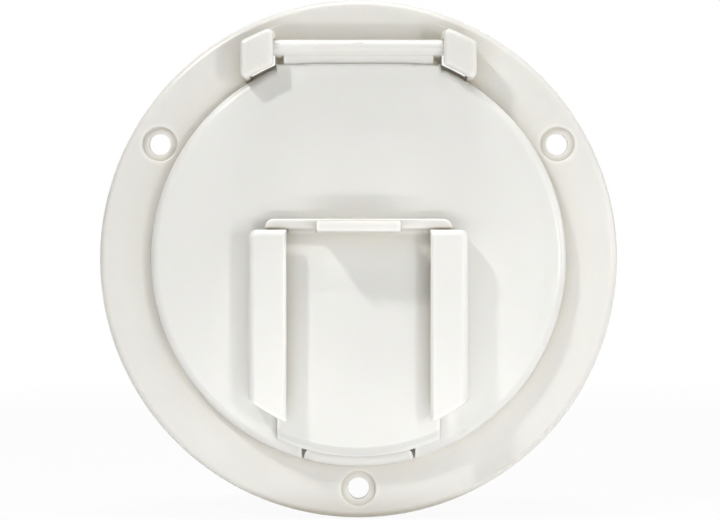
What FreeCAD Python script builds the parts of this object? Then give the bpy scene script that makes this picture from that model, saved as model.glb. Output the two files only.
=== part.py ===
import FreeCAD, Part
import math
import os

# Round cable hatch for the side wall of a caravan: a screwed flange with a collar, a hinged lid
# that closes the collar, and a slide on the lid that opens a notch in the rim for the cable.
#
# Each piece is drawn lying on its back: x across, y up the wall, z the height above the wall.
# At the end it is stood up, so that its front looks along -Y and its hinge is at the top, +Z.
# All sizes are millimetres.

# Flange and collar
collar_diameter = 106.0
flange_margin = 13.675
flange_thickness = 2.6
flange_edge_rounding = 1.8
collar_wall = 2.2
collar_depth = 20.0
collar_lead_in = 0.8
lid_seat_width = 4.3

# Screw holes
screw_edge_distance = 7.675
screw_count = 3
first_screw_angle = 30.0
screw_hole_diameter = 5.5
screw_recess_diameter = 8.8
screw_recess_depth = 1.0
screw_recess_flare = 0.25

# Lid shell
lid_overlap = 6.5
lid_face_height = 4.8
lid_wall = 2.0
lid_edge_rounding = 2.3
lid_rest_gap = 0.3
plug_wall = 1.6
plug_length = 6.4
plug_clearance = 0.9
plug_end_chamfer = 0.5

# Hinge: a bar along the top of the lid, held under two hooks on the flange
hinge_height = 6.2
hinge_beyond_lid = 0.45
bar_diameter = 4.0
bar_running_gap = 0.1
bar_end_gap = 0.5
bar_end_chamfer = 0.3
bar_mark_width = 2.6
bar_mark_height = 0.7
bar_mark_rise = 0.15
tab_width = 42.0
tab_edge_rounding = 0.8
groove_width = 1.85
web_thickness = 1.8
web_side_gap = 0.3

# Hooks
hook_tab_gap = 0.4
hook_width = 8.3
hook_wall = 2.2
hook_lid_gap = 0.4
hook_reach = 8.8
hook_corner_rounding = 1.4
pad_thickness = 2.2
pad_edge_rounding = 1.2
pad_overhang = 0.3
slot_collar_margin = 1.2
cradle_thickness = 1.6
cradle_length = 4.2
cradle_tab_gap = 0.1
cradle_drop = 0.8

# Rails on the lid's face
rail_spacing = 36.0
rail_width = 9.4
rail_height = 8.8
rail_roof = 2.0
rail_wall = 2.4
rail_top = 7.3
rail_end_radius = 44.5
rail_edge_rounding = 1.8
rail_corner_rounding = 2.1
rail_bevel = 0.7
rail_root_rounding = 0.4

# Cable slide
slide_width = 41.3
slide_thickness = 2.0
slide_gap = 0.15
slide_side_gap = 0.3
slide_travel = 28.0
runner_wall = 1.8
runner_end_inset = 3.5
runner_top_inset = 0.3
toe_inset = 2.85
toe_slope = 2.4
toe_foot = 0.4
toe_rounding = 0.7
stop_gap = 0.25
stop_width = 47.0
stop_thickness = 2.5
stop_height = 3.4
stop_corner_rounding = 2.2
stop_edge_rounding = 0.5
stop_fillet = 1.4
stop_mark_rise = 0.3
stop_mark_places = ((-7.6, 1.8), (0.3, 3.3))

# Thumb ledge on the slide
ledge_width = 20.6
ledge_thickness = 2.45
ledge_length = 13.4
ledge_low = 0.75
ledge_draft = 0.25
ledge_rounding = 0.5

# Tongue of the slide and the cable notch that it closes
tongue_width = 27.6
tongue_depth = 5.2
notch_side_gap = 0.6
notch_end_gap = 0.5
notch_corner_rounding = 3.0
notch_frame_wall = 1.6

# Rolled edges of large rings are drawn as this many flats, each touching the true arc at its ends
rolled_edge_flats = 4

# Heights and radii worked out from the sizes above
collar_radius = collar_diameter / 2
flange_radius = collar_radius + flange_margin
collar_inner_radius = collar_radius - collar_wall
opening_radius = collar_inner_radius - lid_seat_width
screw_circle_radius = flange_radius - screw_edge_distance
lid_radius = opening_radius + lid_overlap
lid_face = flange_thickness + lid_face_height
lid_underside = lid_face - lid_wall
lid_rim = flange_thickness + lid_rest_gap
lid_inner_radius = lid_radius - lid_wall
plug_radius = opening_radius - plug_clearance
plug_end = lid_underside - plug_length

bar_radius = bar_diameter / 2
bar_y = lid_radius + hinge_beyond_lid
bar_z = flange_thickness + hinge_height
tab_half = tab_width / 2
tab_end = bar_y - bar_radius - groove_width

pad_inner = tab_half + hook_tab_gap
hook_inner = pad_inner - pad_overhang
hook_outer = pad_inner + hook_width
pocket_outer = hook_outer - hook_wall
pocket_top = bar_y + bar_radius + bar_running_gap
hook_low_radius = lid_radius + hook_lid_gap
hook_high_radius = hook_low_radius + hook_reach
pad_underside = bar_z + bar_radius + bar_running_gap
pad_front = pad_underside + pad_thickness
slot_inner_radius = collar_radius + slot_collar_margin
bar_end = pocket_outer - bar_end_gap
cradle_outer = tab_half - cradle_tab_gap
cradle_inner = cradle_outer - cradle_thickness
web_half = cradle_inner - web_side_gap

rail_inner = rail_spacing / 2
rail_outer = rail_inner + rail_width
rail_front = lid_face + rail_height
roof_underside = rail_front - rail_roof
channel_outer = rail_outer - rail_wall

slide_half = slide_width / 2
slide_back = lid_face + slide_gap
slide_front = slide_back + slide_thickness
runner_outer = channel_outer - slide_side_gap
runner_front = roof_underside - slide_gap
runner_low = runner_end_inset - math.sqrt(rail_end_radius ** 2 - channel_outer ** 2)
runner_high = rail_top - runner_top_inset
toe_radius = lid_radius - toe_inset
stop_low = rail_top + stop_gap
stop_high = stop_low + stop_thickness
stop_front = slide_front + stop_height
ledge_y = stop_low - ledge_low
ledge_front = slide_front + ledge_length

tongue_half = tongue_width / 2
tongue_top = tongue_depth - lid_radius
notch_half = tongue_half + notch_side_gap
notch_top = tongue_top + slide_travel + notch_end_gap

# How far a piece reaches into its neighbour in the same moulding, and a cutter past a face
bite = 0.4
past = 1.0


def vector(x, y, z):
    """A point or direction."""
    return FreeCAD.Vector(x, y, z)


def outline(corners, place):
    """Face inside the corners (u, v) or (u, v, radius), a given radius making a tangent arc."""
    edges = []
    joints = []
    for index, corner in enumerate(corners):
        here = vector(corner[0], corner[1], 0)
        before = corners[index - 1]
        after = corners[(index + 1) % len(corners)]
        to_before = (vector(before[0], before[1], 0) - here).normalize()
        to_after = (vector(after[0], after[1], 0) - here).normalize()
        if len(corner) == 2:
            joints.append((here, here, here))
            continue
        half_angle = to_before.getAngle(to_after) / 2
        setback = corner[2] / math.tan(half_angle)
        inward = (to_before + to_after).normalize()
        middle = here + inward * (corner[2] / math.sin(half_angle) - corner[2])
        joints.append((here + to_before * setback, middle, here + to_after * setback))
    for index, joint in enumerate(joints):
        start, middle, end = (place(point.x, point.y) for point in joint)
        if start != end:
            edges.append(Part.Arc(start, middle, end).toShape())
        following = joints[(index + 1) % len(joints)][0]
        edges.append(Part.LineSegment(end, place(following.x, following.y)).toShape())
    return Part.Face(Part.Wire(edges))


def turned(corners):
    """Solid of revolution about z from (radius, z) corners."""
    section = outline(corners, lambda u, v: vector(u, 0, v))
    return section.revolve(vector(0, 0, 0), vector(0, 0, 1), 360)


def sheet(corners, low, high):
    """Prism along z from (x, y) corners."""
    return outline(corners, lambda u, v: vector(u, v, low)).extrude(vector(0, 0, high - low))


def rolled(radius, height, rounding):
    """Corners of a rounded outer edge below a height, from its side to its top."""
    corners = []
    for index in range(rolled_edge_flats + 1):
        turn = math.pi / 2 * index / rolled_edge_flats
        reach = radius - rounding + rounding * math.cos(turn)
        corners.append((reach, height - rounding + rounding * math.sin(turn)))
    return corners


def along_x(corners, low, high):
    """Prism along x from (y, z) corners."""
    return outline(corners, lambda u, v: vector(low, u, v)).extrude(vector(high - low, 0, 0))


def along_y(corners, low, high):
    """Prism along y from (x, z) corners."""
    return outline(corners, lambda u, v: vector(u, low, v)).extrude(vector(0, high - low, 0))


def block(x_low, x_high, y_low, y_high, z_low, z_high):
    """Box between two corners."""
    corner = vector(x_low, y_low, z_low)
    return Part.makeBox(x_high - x_low, y_high - y_low, z_high - z_low, corner)


def disc(radius, low, high):
    """Cylinder about z."""
    return Part.makeCylinder(radius, high - low, vector(0, 0, low))


def bar_cylinder(radius, low, high):
    """Cylinder on the hinge axis."""
    return Part.makeCylinder(radius, high - low, vector(low, bar_y, bar_z), vector(1, 0, 0))


def both_sides(shape):
    """The shape with its mirror image across the middle."""
    return [shape, shape.mirror(vector(0, 0, 0), vector(1, 0, 0))]


def edges_inside(shape, x_low, x_high, y_low, y_high, z_low, z_high):
    """Edges that lie wholly inside a box, its faces included."""
    room = FreeCAD.BoundBox(x_low, y_low, z_low, x_high, y_high, z_high)
    room.enlarge(0.01)
    return [edge for edge in shape.Edges if room.isInside(edge.BoundBox)]


def upright_edges(shape):
    """Straight edges along z."""
    return [edge for edge in shape.Edges
            if edge.BoundBox.XLength < 0.01 and edge.BoundBox.YLength < 0.01]


def edges_at_height(shape, height):
    """Edges that lie wholly at one height."""
    return [edge for edge in shape.Edges
            if abs(edge.BoundBox.ZMin - height) < 0.01 and abs(edge.BoundBox.ZMax - height) < 0.01]


def ring_sector(inner, outer, x_low, x_high, z_low, z_high):
    """Upper part of a ring between two radii, cut to a strip of x."""
    ring = disc(outer, z_low, z_high).cut(disc(inner, z_low, z_high))
    return ring.common(block(x_low, x_high, 0, outer, z_low, z_high))


def screw_cutter():
    """Through hole with a shallow recess, standing on the middle."""
    hole = screw_hole_diameter / 2
    recess = screw_recess_diameter / 2
    floor = flange_thickness - screw_recess_depth
    return turned([
        (0, -past),
        (hole, -past),
        (hole, floor),
        (recess, floor),
        (recess, flange_thickness - screw_recess_flare),
        (recess + screw_recess_flare + past, flange_thickness + past),
        (0, flange_thickness + past),
    ])


def hook():
    """Hook on the right: a pad held up by a side wall and a top wall round an open pocket."""
    base = ring_sector(hook_low_radius, hook_high_radius, hook_inner, hook_outer,
                       flange_thickness - bite, pad_underside)
    base = base.makeFillet(hook_corner_rounding, upright_edges(base))
    pocket = block(0, pocket_outer, 0, pocket_top, flange_thickness, pad_underside)
    pad = ring_sector(hook_low_radius, hook_high_radius, pad_inner, hook_outer,
                      pad_underside, pad_front)
    pad = pad.makeFillet(hook_corner_rounding, upright_edges(pad))
    pad = pad.makeFillet(pad_edge_rounding, edges_at_height(pad, pad_front))
    return base.cut(pocket).fuse(pad)


def hook_slot():
    """Opening through the flange under the pad, which lets the tool form the pad's underside."""
    low = -past
    high = flange_thickness + past
    opening = ring_sector(slot_inner_radius, flange_radius, pad_inner, pocket_outer, low, high)
    return opening.common(block(0, flange_radius, 0, pocket_top, low, high))


def cradle():
    """Post on the flange whose hollow top carries the hinge bar."""
    post = block(cradle_inner, cradle_outer, bar_y - cradle_length / 2, bar_y + cradle_length / 2,
                 flange_thickness - bite, bar_z - cradle_drop)
    return post.cut(bar_cylinder(bar_radius + bar_running_gap, 0, flange_radius))


def mounting_flange():
    """Flange, collar, screw holes and the two hinge hooks, one moulding."""
    body = turned([
        (opening_radius, 0),
        (collar_inner_radius, 0),
        (collar_inner_radius, -collar_depth),
        (collar_radius - collar_lead_in, -collar_depth),
        (collar_radius, collar_lead_in - collar_depth),
        (collar_radius, 0),
        (flange_radius, 0),
        *rolled(flange_radius, flange_thickness, flange_edge_rounding),
        (opening_radius, flange_thickness),
    ])
    for shape in both_sides(hook()) + both_sides(cradle()):
        body = body.fuse(shape)
    for shape in both_sides(hook_slot()):
        body = body.cut(shape)
    for index in range(screw_count):
        angle = math.radians(first_screw_angle + 360 * index / screw_count)
        cutter = screw_cutter()
        cutter.translate(vector(math.cos(angle), math.sin(angle), 0) * screw_circle_radius)
        body = body.cut(cutter)
    return body.removeSplitter()


def lid_tab(inset, low, high):
    """The lid's straight-sided top end, drawn in by a wall."""
    half = tab_half - inset
    return block(-half, half, 0, tab_end - inset, low, high)


def lid_shell():
    """Shallow round shell, cut straight under the hinge bar."""
    rim = turned([
        (0, lid_rim),
        (lid_radius, lid_rim),
        *rolled(lid_radius, lid_face, lid_edge_rounding),
        (0, lid_face),
    ])
    beyond = block(-lid_radius, lid_radius, tab_end, lid_radius, lid_rim, lid_face)
    tab = lid_tab(0, lid_rim, lid_face)
    tab = tab.makeFillet(tab_edge_rounding, edges_at_height(tab, lid_face))
    inner_floor = disc(lid_inner_radius, lid_rim - past, lid_underside)
    inner_floor = inner_floor.common(block(-lid_radius, lid_radius, -lid_radius, tab_end - lid_wall,
                                           lid_rim - past, lid_underside))
    hollow = inner_floor.fuse(lid_tab(lid_wall, lid_rim - past, lid_underside))
    return rim.cut(beyond).fuse(tab).cut(hollow)


def lid_plug():
    """Ring behind the lid that enters the flange's opening."""
    return turned([
        (plug_radius - plug_wall, plug_end),
        (plug_radius - plug_end_chamfer, plug_end),
        (plug_radius, plug_end + plug_end_chamfer),
        (plug_radius, lid_underside + bite),
        (plug_radius - plug_wall, lid_underside + bite),
    ])


def notch_outline(margin, low, high):
    """Round-cornered notch from the rim upwards, wider all round by a margin."""
    half = notch_half + margin
    rounding = notch_corner_rounding + margin
    return sheet([
        (-half, -lid_radius - past),
        (half, -lid_radius - past),
        (half, notch_top + margin, rounding),
        (-half, notch_top + margin, rounding),
    ], low, high)


def lid_hinge():
    """Bar with the web that joins it to the end of the tab."""
    length = 2 * bar_end
    bar = bar_cylinder(bar_radius, -bar_end, bar_end)
    rings = [edge for edge in bar.Edges if edge.BoundBox.XLength < length / 2]
    bar = bar.makeChamfer(bar_end_chamfer, rings)
    foot = vector(tab_end - lid_wall / 2, (lid_rim + lid_face) / 2, 0)
    head = vector(bar_y, bar_z - bar_radius / 2, 0)
    slant = (head - foot).normalize()
    side = vector(-slant.y, slant.x, 0) * (web_thickness / 2)
    corners = [foot + side, foot - side, head - side, head + side]
    web = along_x([(point.x, point.y) for point in corners], -web_half, web_half)
    return bar.fuse(web).fuse(bar_mark())


def bar_mark():
    """Small raised mark on the bar's upper front, where the moulding was filled."""
    middle = bar_y + bar_radius / 2
    front = bar_z + bar_radius * math.sqrt(0.75) + bar_mark_rise
    half_width = bar_mark_width / 2
    half_height = bar_mark_height / 2
    return block(-half_width, half_width, middle - half_height, middle + half_height, bar_z, front)


def rail():
    """Right rail: an upright wall with a roof that reaches in over the slide."""
    section = [
        (rail_outer, lid_face - bite),
        (rail_outer, rail_front),
        (rail_inner + rail_bevel, rail_front),
        (rail_inner, rail_front - rail_bevel),
        (rail_inner, roof_underside),
        (channel_outer, roof_underside, rail_root_rounding),
        (channel_outer, lid_face - bite),
    ]
    run = along_y(section, -rail_end_radius, rail_top)
    run = run.common(disc(rail_end_radius, lid_face - bite, rail_front))
    corner = edges_inside(run, rail_outer, rail_outer, rail_top, rail_top, 0, rail_front)
    run = run.makeFillet(rail_corner_rounding, corner)
    bend = rail_outer - rail_corner_rounding
    top_edges = edges_inside(run, rail_inner + rail_bevel, rail_outer, rail_top - rail_corner_rounding,
                             rail_top, rail_front, rail_front)
    side_edges = edges_inside(run, bend, rail_outer, -rail_end_radius, rail_top, rail_front, rail_front)
    chosen = {edge.hashCode(): edge for edge in top_edges + side_edges if edge.BoundBox.DiagonalLength > 1}
    chosen = [edge for edge in chosen.values() if not on_end_arc(edge)]
    return run.makeFillet(rail_edge_rounding, chosen)


def on_end_arc(edge):
    """Whether an edge runs along the curved lower end of a rail."""
    return all(abs(math.hypot(vertex.X, vertex.Y) - rail_end_radius) < 0.01 for vertex in edge.Vertexes)


def lid():
    """Shell, plug ring, cable notch, hinge bar and rails, one moulding."""
    body = lid_shell().fuse(lid_plug())
    frame = notch_outline(notch_frame_wall, lid_rim, lid_underside + bite)
    body = body.fuse(frame.common(disc(lid_inner_radius + bite, lid_rim, lid_underside + bite)))
    for shape in both_sides(rail()) + [lid_hinge()]:
        body = body.fuse(shape)
    body = body.cut(notch_outline(0, plug_end - past, lid_face + past))
    return body.removeSplitter()


def slide_plate():
    """Plate between the rails with a sloping toe along an arc, and its guided wings."""
    toe = turned([
        (0, slide_back),
        (toe_radius, slide_back),
        (toe_radius, slide_back + toe_foot),
        (toe_radius - toe_slope, slide_front, toe_rounding),
        (0, slide_front),
    ])
    plate = toe.common(block(-slide_half, slide_half, -toe_radius, stop_high - stop_thickness / 2,
                             slide_back, slide_front))
    wings = block(-runner_outer, runner_outer, runner_low, runner_high, slide_back, slide_front)
    return plate.fuse(wings)


def slide_runner():
    """Upright runner on the right wing, close under the rail's roof."""
    return block(runner_outer - runner_wall, runner_outer, runner_low, runner_high,
                 slide_front - bite, runner_front)


def slide_stop():
    """Cross wall at the top of the slide, which lands on the rails' ends."""
    half = stop_width / 2
    wall = sheet([
        (-half, stop_low),
        (half, stop_low),
        (half, stop_high, stop_corner_rounding),
        (-half, stop_high, stop_corner_rounding),
    ], slide_back, stop_front)
    wall = wall.makeFillet(stop_edge_rounding, edges_at_height(wall, stop_front))
    for middle, width in stop_mark_places:
        mark = block(middle - width / 2, middle + width / 2, stop_high - bite,
                     stop_high + stop_mark_rise, slide_front, stop_front - stop_edge_rounding)
        wall = wall.fuse(mark)
    reach = rail_inner - slide_side_gap
    corner = block(-reach, reach, stop_low - stop_fillet, stop_low + bite,
                   slide_front - bite, slide_front + stop_fillet)
    scoop = Part.makeCylinder(stop_fillet, 2 * reach,
                              vector(-reach, stop_low - stop_fillet, slide_front + stop_fillet),
                              vector(1, 0, 0))
    return wall.fuse(corner.cut(scoop))


def slide_ledge():
    """Thumb ledge that stands out from the slide, a little thinner and narrower towards its front."""
    rings = []
    for height, grow in ((slide_front - bite, ledge_draft), (ledge_front, 0)):
        half = ledge_width / 2 + grow
        low = ledge_y - grow
        high = ledge_y + ledge_thickness + grow
        face = outline([(-half, low), (half, low), (half, high), (-half, high)],
                       lambda u, v, z=height: vector(u, v, z))
        rings.append(face.OuterWire)
    ledge = Part.makeLoft(rings, True, True)
    corners = [edge for edge in ledge.Edges if edge.BoundBox.ZLength > ledge_length / 2]
    return ledge.makeFillet(ledge_rounding, corners)


def slide_tongue():
    """Piece of rim that fills the cable notch, joined to the plate through the notch."""
    rim = turned([
        (lid_inner_radius, lid_rim),
        (lid_radius, lid_rim),
        *rolled(lid_radius, lid_face, lid_edge_rounding),
        (0, lid_face),
        (0, lid_underside),
        (lid_inner_radius, lid_underside),
    ])
    rounding = notch_corner_rounding - notch_side_gap
    width = sheet([
        (-tongue_half, -lid_radius - past),
        (tongue_half, -lid_radius - past),
        (tongue_half, tongue_top, rounding),
        (-tongue_half, tongue_top, rounding),
    ], lid_rim, slide_back + bite)
    neck = disc(toe_radius - toe_foot, lid_underside, slide_back + bite)
    return rim.fuse(neck).common(width)


def cable_slide():
    """Plate, runners, stop, thumb ledge and tongue, one moulding."""
    body = slide_plate()
    for shape in both_sides(slide_runner()) + [slide_stop(), slide_ledge(), slide_tongue()]:
        body = body.fuse(shape)
    return body.removeSplitter()


def stood_up(shape):
    """Turn a piece from its back onto the wall."""
    upright = shape.copy()
    upright.rotate(vector(0, 0, 0), vector(1, 0, 0), 90)
    return upright


os.makedirs("parts", exist_ok=True)
stood_up(mounting_flange()).exportStep("parts/mounting_flange.step")
stood_up(lid()).exportStep("parts/lid.step")
stood_up(cable_slide()).exportStep("parts/cable_slide.step")
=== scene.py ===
import bpy
import math
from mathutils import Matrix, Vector


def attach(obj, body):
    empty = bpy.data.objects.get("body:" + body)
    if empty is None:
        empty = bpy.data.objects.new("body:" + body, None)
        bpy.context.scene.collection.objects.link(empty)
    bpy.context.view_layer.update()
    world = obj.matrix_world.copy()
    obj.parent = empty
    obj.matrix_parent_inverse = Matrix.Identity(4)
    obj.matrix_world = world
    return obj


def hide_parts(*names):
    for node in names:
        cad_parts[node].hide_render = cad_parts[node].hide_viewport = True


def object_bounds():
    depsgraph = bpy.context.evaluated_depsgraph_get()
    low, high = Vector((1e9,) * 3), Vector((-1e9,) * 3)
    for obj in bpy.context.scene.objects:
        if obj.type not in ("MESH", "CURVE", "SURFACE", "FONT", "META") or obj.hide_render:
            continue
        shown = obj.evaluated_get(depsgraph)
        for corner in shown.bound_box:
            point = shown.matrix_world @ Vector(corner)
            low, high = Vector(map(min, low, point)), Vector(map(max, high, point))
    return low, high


# Round cable hatch in warm white moulded plastic, seen straight on against white.
# Lengths are metres, in the hatch's own frame: +Z up the wall, -Y out of the wall.

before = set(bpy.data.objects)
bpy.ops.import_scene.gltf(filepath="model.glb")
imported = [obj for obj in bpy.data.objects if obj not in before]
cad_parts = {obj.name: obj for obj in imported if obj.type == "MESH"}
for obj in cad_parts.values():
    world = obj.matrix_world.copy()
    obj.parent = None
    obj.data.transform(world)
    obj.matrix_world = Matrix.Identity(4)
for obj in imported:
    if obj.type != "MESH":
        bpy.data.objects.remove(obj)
cad_box = [list(corner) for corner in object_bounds()]

# Photograph
PICTURE_WIDTH = 720
PICTURE_HEIGHT = 520
PIXEL_AT_FLANGE = 0.0002569
FLANGE_CENTRE_PIXEL = (358.5, 258.9)
CAMERA_DISTANCE = 0.420
SENSOR_WIDTH = 36.0
NEAREST_SEEN = 0.01
FARTHEST_SEEN = 20.0

# Height above the wall at which the photograph's pixel was measured
FLANGE_FRONT = 0.0026

# Plastic
FLANGE_COLOUR = (0.805, 0.794, 0.754)
LID_COLOUR = (0.810, 0.806, 0.776)
PLASTIC_IOR = 1.53
TRANSLUCENCE = 0.2
GLOW_DEPTH = 0.0022
GLOW_BY_COLOUR = (1.0, 0.72, 0.48)
SKIN_ROUGHNESS = 0.31
SKIN_GRAIN = 0.35
SKIN_WAVE = 0.012

# Skin of the mouldings, with noise scales in features a metre
NOISE_LOW = 0.3
NOISE_HIGH = 0.7
DRIFT_SCALE = 28.0
DRIFT_DARKEST = 0.97
UNEVEN_SCALE = 75.0
UNEVEN_SWING = 0.035
WAVE_SCALE = 45.0
WAVE_HEIGHT = 0.0004
GRAIN_SCALE = 2600.0
GRAIN_HEIGHT = 0.00002
OPEN_SHARE = 0.95
# Painted shade: colour darkened and warmed where walls stand close, in place of the shade there
PAINTED_SHADE_SHARE = 0.35
PAINTED_SHADE_REACH = 0.008
PAINTED_SHADE_TINT = (0.66, 0.61, 0.52, 1.0)
# Painted highlight: colour lifted at outer edges, in place of the bright rims there
PAINTED_LIGHT_SHARE = 0.6
PAINTED_LIGHT_REACH = 0.0012
PAINTED_LIGHT_LIFT = 1.13
OCCLUSION_SAMPLES = 4

# Ring mark on the lid
RING_MARK_RADIUS = 0.0475
RING_MARK_HALF_WIDTH = 0.0022
RING_MARK_DEPTH = 0.00004

# Copies of the mouldings
MERGE_DISTANCE = 0.000002
FLAT_ANGLE = math.radians(0.3)
SHARP_ANGLE = math.radians(32.0)
SMOOTH_ANGLE = math.radians(50.0)
EDGE_BREAK = 0.00018
EDGE_BREAK_SEGMENTS = 2

# Stage
WHITE = (1.0, 1.0, 1.0, 1.0)
FLOOR_SIZE = 6.0
FLOOR_COLOUR = (0.82, 0.82, 0.82, 1.0)
SHADOW_DEPTH = 0.06
SHADOW_REACH = 0.5
ROOM_COLOUR = (1.0, 0.99, 0.97, 1.0)
ROOM_BESIDE = 0.02
ROOM_BEHIND = 0.4
SMALLEST_SLANT = 0.2

# Mouldings: node, body, slot, colour and how much painted shade darkens its crevices
MOULDINGS = (
    ("mounting_flange", "flange_body", "flange_plastic", FLANGE_COLOUR, 0.75),
    ("lid", "lid_body", "lid_plastic", LID_COLOUR, 0.1),
    ("cable_slide", "slide_body", "slide_plastic", LID_COLOUR, 0.8),
)

# Lamps: name, place, width, height and the share of full light that it gives the hatch's centre
LAMPS = (
    ("key", (-0.30, -0.33, 0.42), 0.05, 0.05, 0.19),
    ("high_right", (0.22, -0.50, 0.56), 0.05, 0.05, 0.045),
    ("side", (0.24, -0.39, 0.02), 0.04, 0.06, 0.15),
    ("near_front", (0.0, -0.16, -0.054), 0.16, 0.015, 0.21),
    ("right_edge", (0.70, -0.12, 0.10), 0.26, 0.26, 0.05),
    ("top_edge", (0.0, -0.07, 0.60), 0.24, 0.06, 0.12),
)


# Node helpers

def object_coordinates(tree):
    """The piece's own coordinates, in metres."""
    return tree.nodes.new("ShaderNodeTexCoord").outputs["Object"]


def feed(tree, value, socket):
    """Link a value into a socket, or set the socket to it where it is a plain number or colour."""
    if isinstance(value, bpy.types.NodeSocket):
        tree.links.new(value, socket)
    else:
        socket.default_value = value


def noise(tree, coordinates, scale, detail):
    """Noise value over the piece, with features of about one over the scale."""
    node = tree.nodes.new("ShaderNodeTexNoise")
    node.inputs["Scale"].default_value = scale
    node.inputs["Detail"].default_value = detail
    tree.links.new(coordinates, node.inputs["Vector"])
    return node.outputs["Fac"]


def ranged(tree, value, low, high, new_low, new_high):
    """A value moved from one range to another."""
    node = tree.nodes.new("ShaderNodeMapRange")
    for name, number in (("From Min", low), ("From Max", high), ("To Min", new_low), ("To Max", new_high)):
        node.inputs[name].default_value = number
    tree.links.new(value, node.inputs["Value"])
    return node.outputs["Result"]


def noise_ranged(tree, coordinates, scale, detail, new_low, new_high):
    """Noise over the piece that swings between two values."""
    return ranged(tree, noise(tree, coordinates, scale, detail), NOISE_LOW, NOISE_HIGH, new_low, new_high)


def worked_out(tree, operation, first, second=0.0):
    """Value from one or two others, by one sum."""
    node = tree.nodes.new("ShaderNodeMath")
    node.operation = operation
    feed(tree, first, node.inputs[0])
    feed(tree, second, node.inputs[1])
    return node.outputs["Value"]


def scaled(tree, colour, factor):
    """Colour made lighter or darker by a factor."""
    node = tree.nodes.new("ShaderNodeVectorMath")
    node.operation = "SCALE"
    tree.links.new(colour, node.inputs[0])
    tree.links.new(factor, node.inputs["Scale"])
    return node.outputs["Vector"]


def multiplied(tree, vector, other):
    """Colour or vector times another, channel by channel."""
    node = tree.nodes.new("ShaderNodeVectorMath")
    node.operation = "MULTIPLY"
    tree.links.new(vector, node.inputs[0])
    feed(tree, other, node.inputs[1])
    return node.outputs["Vector"]


def length_of(tree, vector):
    """Length of a vector."""
    node = tree.nodes.new("ShaderNodeVectorMath")
    node.operation = "LENGTH"
    tree.links.new(vector, node.inputs[0])
    return node.outputs["Value"]


def occlusion(tree, reach, inside):
    """Share of the open space round a point, outside the plastic or inside it, within a reach."""
    node = tree.nodes.new("ShaderNodeAmbientOcclusion")
    node.samples = OCCLUSION_SAMPLES
    node.inside = inside
    node.inputs["Distance"].default_value = reach
    return node.outputs["AO"]


def bumped(tree, height, strength, distance, normal=None):
    """Normal that follows a height."""
    node = tree.nodes.new("ShaderNodeBump")
    node.inputs["Distance"].default_value = distance
    feed(tree, strength, node.inputs["Strength"])
    tree.links.new(height, node.inputs["Height"])
    if normal is not None:
        tree.links.new(normal, node.inputs["Normal"])
    return node.outputs["Normal"]


def mixed_shader(tree, amount, first, second):
    """Mix of two shaders."""
    node = tree.nodes.new("ShaderNodeMixShader")
    tree.links.new(amount, node.inputs["Fac"])
    tree.links.new(first, node.inputs[1])
    tree.links.new(second, node.inputs[2])
    return node.outputs["Shader"]


# Plastic

def painted_crevice_shade(tree, colour, amount):
    """Painted shade: colour that turns darker and warmer where walls stand close, standing in for the shade
    that falls in crevices.
    """
    closeness = ranged(tree, occlusion(tree, PAINTED_SHADE_REACH, False), OPEN_SHARE, PAINTED_SHADE_SHARE, 0.0, 1.0)
    shade = tree.nodes.new("ShaderNodeValToRGB")
    shade.color_ramp.elements[0].color = WHITE
    shade.color_ramp.elements[1].color = PAINTED_SHADE_TINT
    tree.links.new(worked_out(tree, "MULTIPLY", closeness, amount), shade.inputs["Fac"])
    return multiplied(tree, colour, shade.outputs["Color"])


def painted_edge_light(tree, colour):
    """Painted highlight: colour that turns paler at outer edges, standing in for the bright rims where light
    comes through the plastic.
    """
    lift = ranged(tree, occlusion(tree, PAINTED_LIGHT_REACH, True), OPEN_SHARE, PAINTED_LIGHT_SHARE, 1.0, PAINTED_LIGHT_LIFT)
    return scaled(tree, colour, lift)


def moulded_skin_group():
    """Shared skin of a moulding: colour drift, painted shade in crevices, painted edge highlights, uneven
    gloss, grain and waves.
    """
    group = bpy.data.node_groups.new("moulded_skin", "ShaderNodeTree")
    face = group.interface
    face.new_socket("Colour", in_out="INPUT", socket_type="NodeSocketColor")
    for name in ("Gloss", "Grain", "Wave", "Painted Shade"):
        face.new_socket(name, in_out="INPUT", socket_type="NodeSocketFloat")
    face.new_socket("Colour", in_out="OUTPUT", socket_type="NodeSocketColor")
    face.new_socket("Roughness", in_out="OUTPUT", socket_type="NodeSocketFloat")
    face.new_socket("Normal", in_out="OUTPUT", socket_type="NodeSocketVector")
    given = group.nodes.new("NodeGroupInput").outputs
    result = group.nodes.new("NodeGroupOutput").inputs
    where = object_coordinates(group)

    colour = scaled(group, given["Colour"], noise_ranged(group, where, DRIFT_SCALE, 3.0, DRIFT_DARKEST, 1.0))
    colour = painted_edge_light(group, painted_crevice_shade(group, colour, given["Painted Shade"]))
    group.links.new(colour, result["Colour"])

    uneven = noise_ranged(group, where, UNEVEN_SCALE, 3.0, -UNEVEN_SWING, UNEVEN_SWING)
    group.links.new(worked_out(group, "ADD", given["Gloss"], uneven), result["Roughness"])

    waved = bumped(group, noise(group, where, WAVE_SCALE, 1.0), given["Wave"], WAVE_HEIGHT)
    grained = bumped(group, noise(group, where, GRAIN_SCALE, 2.0), given["Grain"], GRAIN_HEIGHT, waved)
    group.links.new(grained, result["Normal"])
    return group


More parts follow.
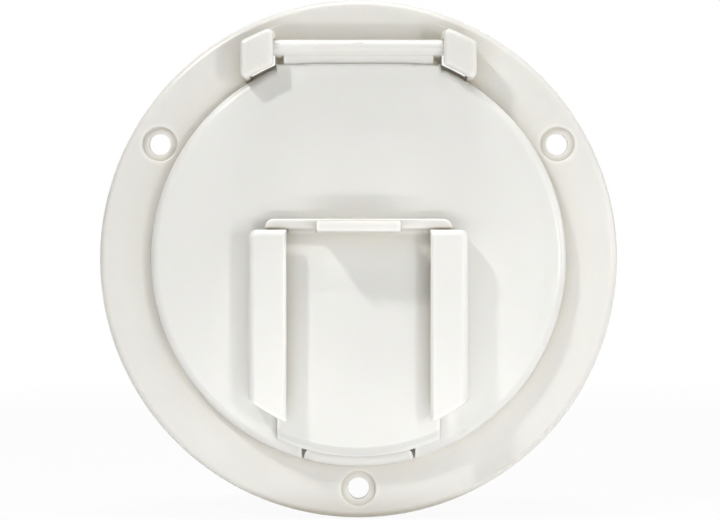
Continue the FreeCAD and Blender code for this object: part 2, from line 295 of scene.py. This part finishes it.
def moulded_plastic(name, group, colour, painted_shade):
    """Warm white moulded plastic, slightly translucent."""
    material = bpy.data.materials.new(name)
    material.use_nodes = True
    tree = material.node_tree
    skin = tree.nodes["Principled BSDF"]
    skin.inputs["Subsurface Weight"].default_value = TRANSLUCENCE
    skin.inputs["Subsurface Radius"].default_value = GLOW_BY_COLOUR
    skin.inputs["Subsurface Scale"].default_value = GLOW_DEPTH
    skin.inputs["IOR"].default_value = PLASTIC_IOR
    shared = tree.nodes.new("ShaderNodeGroup")
    shared.node_tree = group
    shared.inputs["Colour"].default_value = (*colour, 1.0)
    shared.inputs["Gloss"].default_value = SKIN_ROUGHNESS
    shared.inputs["Grain"].default_value = SKIN_GRAIN
    shared.inputs["Wave"].default_value = SKIN_WAVE
    shared.inputs["Painted Shade"].default_value = painted_shade
    tree.links.new(shared.outputs["Colour"], skin.inputs["Base Color"])
    tree.links.new(shared.outputs["Roughness"], skin.inputs["Roughness"])
    tree.links.new(shared.outputs["Normal"], skin.inputs["Normal"])
    return material


def add_ring_mark(material):
    """Faint ring in the lid's face, where the plug behind it draws the cooling plastic in."""
    tree = material.node_tree
    in_the_face = multiplied(tree, object_coordinates(tree), (1.0, 0.0, 1.0))
    from_ring = worked_out(tree, "SUBTRACT", length_of(tree, in_the_face), RING_MARK_RADIUS)
    groove = tree.nodes.new("ShaderNodeMapRange")
    groove.interpolation_type = "SMOOTHSTEP"
    groove.inputs["From Max"].default_value = RING_MARK_HALF_WIDTH
    tree.links.new(worked_out(tree, "ABSOLUTE", from_ring), groove.inputs["Value"])
    normal = tree.nodes["Principled BSDF"].inputs["Normal"]
    before = normal.links[0].from_socket
    tree.links.new(bumped(tree, groove.outputs["Result"], 1.0, RING_MARK_DEPTH, before), normal)


# Mouldings

def clear_selection():
    """Deselect everything, so that the next operator acts on its own piece alone."""
    bpy.ops.object.select_all(action="DESELECT")


def give_material(piece, material):
    """One material all over a piece."""
    piece.data.materials.clear()
    piece.data.materials.append(material)


def softened(node, body):
    """Copy of a moulding with its sharp edges broken and its rolled edges shaded round."""
    clear_selection()
    piece = bpy.data.objects.new(node.name + "_moulding", node.data.copy())
    bpy.context.scene.collection.objects.link(piece)
    piece.select_set(True)
    bpy.context.view_layer.objects.active = piece
    bpy.ops.mesh.customdata_custom_splitnormals_clear()
    bpy.ops.object.mode_set(mode="EDIT")
    bpy.ops.mesh.select_all(action="SELECT")
    bpy.ops.mesh.remove_doubles(threshold=MERGE_DISTANCE)
    bpy.ops.mesh.dissolve_limited(angle_limit=FLAT_ANGLE)
    bpy.ops.object.mode_set(mode="OBJECT")
    edge = piece.modifiers.new("broken_edges", "BEVEL")
    edge.width = EDGE_BREAK
    edge.segments = EDGE_BREAK_SEGMENTS
    edge.limit_method = "ANGLE"
    edge.angle_limit = SHARP_ANGLE
    edge.use_clamp_overlap = False
    bpy.ops.object.modifier_apply(modifier=edge.name)
    bpy.ops.object.shade_smooth_by_angle(angle=SMOOTH_ANGLE)
    shading = piece.modifiers.new("even_shading", "WEIGHTED_NORMAL")
    shading.keep_sharp = True
    bpy.ops.object.modifier_apply(modifier=shading.name)
    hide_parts(node.name)
    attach(piece, body)
    return piece


# Stage

def white_to_camera(material):
    """Pale stage surface, seen as white by the camera and in reflections, that keeps the hatch's shadow."""
    material.use_nodes = True
    tree = material.node_tree
    tree.nodes.clear()
    matt = tree.nodes.new("ShaderNodeBsdfDiffuse")
    matt.inputs["Color"].default_value = FLOOR_COLOUR
    glow = tree.nodes.new("ShaderNodeEmission")
    glow.inputs["Color"].default_value = WHITE
    rays = tree.nodes.new("ShaderNodeLightPath").outputs
    seen = worked_out(tree, "MAXIMUM", rays["Is Camera Ray"], rays["Is Glossy Ray"])
    away = length_of(tree, object_coordinates(tree))
    whiteness = ranged(tree, away, 0.5 * SHADOW_REACH, SHADOW_REACH, 1.0 - SHADOW_DEPTH, 1.0)
    amount = worked_out(tree, "MULTIPLY", whiteness, seen)
    mix = mixed_shader(tree, amount, matt.outputs["BSDF"], glow.outputs["Emission"])
    out = tree.nodes.new("ShaderNodeOutputMaterial")
    tree.links.new(mix, out.inputs["Surface"])


def studio_floor(low):
    """Pale floor just under the hatch's lowest point."""
    clear_selection()
    bpy.ops.mesh.primitive_plane_add(size=FLOOR_SIZE, location=(0.0, 0.0, low))
    floor = bpy.context.object
    floor.name = "floor"
    material = bpy.data.materials.new("pale_floor")
    white_to_camera(material)
    give_material(floor, material)


def studio_world():
    """Room that is dim beside the hatch, brighter behind it, dark in front and full white to the camera."""
    world = bpy.data.worlds.new("white_room")
    bpy.context.scene.world = world
    world.use_nodes = True
    tree = world.node_tree
    tree.nodes.clear()
    direction = tree.nodes.new("ShaderNodeSeparateXYZ")
    tree.links.new(object_coordinates(tree), direction.inputs["Vector"])
    beside = ranged(tree, direction.outputs["Y"], -0.35, -0.05, 0.0, ROOM_BESIDE)
    behind = ranged(tree, direction.outputs["Y"], 0.1, 0.5, 0.0, ROOM_BEHIND)
    room = tree.nodes.new("ShaderNodeBackground")
    room.inputs["Color"].default_value = ROOM_COLOUR
    tree.links.new(worked_out(tree, "ADD", beside, behind), room.inputs["Strength"])
    white = tree.nodes.new("ShaderNodeBackground")
    white.inputs["Color"].default_value = WHITE
    white.inputs["Strength"].default_value = 1.0
    seen = tree.nodes.new("ShaderNodeLightPath").outputs["Is Camera Ray"]
    out = tree.nodes.new("ShaderNodeOutputWorld")
    mix = mixed_shader(tree, seen, room.outputs["Background"], white.outputs["Background"])
    tree.links.new(mix, out.inputs["Surface"])


def soft_lamp(name, place, width, height, share):
    """Rectangular soft lamp, pointed at the hatch, that gives its centre this share of full light."""
    towards = -Vector(place)
    slant = max(SMALLEST_SLANT, towards.normalized().y)
    data = bpy.data.lights.new(name, "AREA")
    data.shape = "RECTANGLE"
    data.size = width
    data.size_y = height
    data.energy = share * math.pi ** 2 * towards.length_squared / slant
    lamp = bpy.data.objects.new(name, data)
    bpy.context.scene.collection.objects.link(lamp)
    lamp.location = place
    lamp.rotation_euler = towards.to_track_quat("-Z", "Y").to_euler()


def photo_camera():
    """Camera straight in front, framed as the photograph."""
    data = bpy.data.cameras.new("photo_camera")
    data.sensor_width = SENSOR_WIDTH
    data.lens = SENSOR_WIDTH * CAMERA_DISTANCE / (PICTURE_WIDTH * PIXEL_AT_FLANGE)
    data.clip_start = NEAREST_SEEN
    data.clip_end = FARTHEST_SEEN
    camera = bpy.data.objects.new("photo_camera", data)
    bpy.context.scene.collection.objects.link(camera)
    across = (PICTURE_WIDTH / 2 - FLANGE_CENTRE_PIXEL[0]) * PIXEL_AT_FLANGE
    up = (FLANGE_CENTRE_PIXEL[1] - PICTURE_HEIGHT / 2) * PIXEL_AT_FLANGE
    camera.location = (across, -FLANGE_FRONT - CAMERA_DISTANCE, up)
    camera.rotation_euler = (math.pi / 2, 0.0, 0.0)
    bpy.context.scene.camera = camera


skin_group = moulded_skin_group()
for node_name, body, slot, colour, painted_shade in MOULDINGS:
    plastic = moulded_plastic(slot, skin_group, colour, painted_shade)
    if node_name == "lid":
        add_ring_mark(plastic)
    give_material(softened(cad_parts[node_name], body), plastic)

studio_world()
for lamp in LAMPS:
    soft_lamp(*lamp)
studio_floor(cad_box[0][2])
photo_camera()
bpy.context.scene.view_settings.view_transform = "Standard"
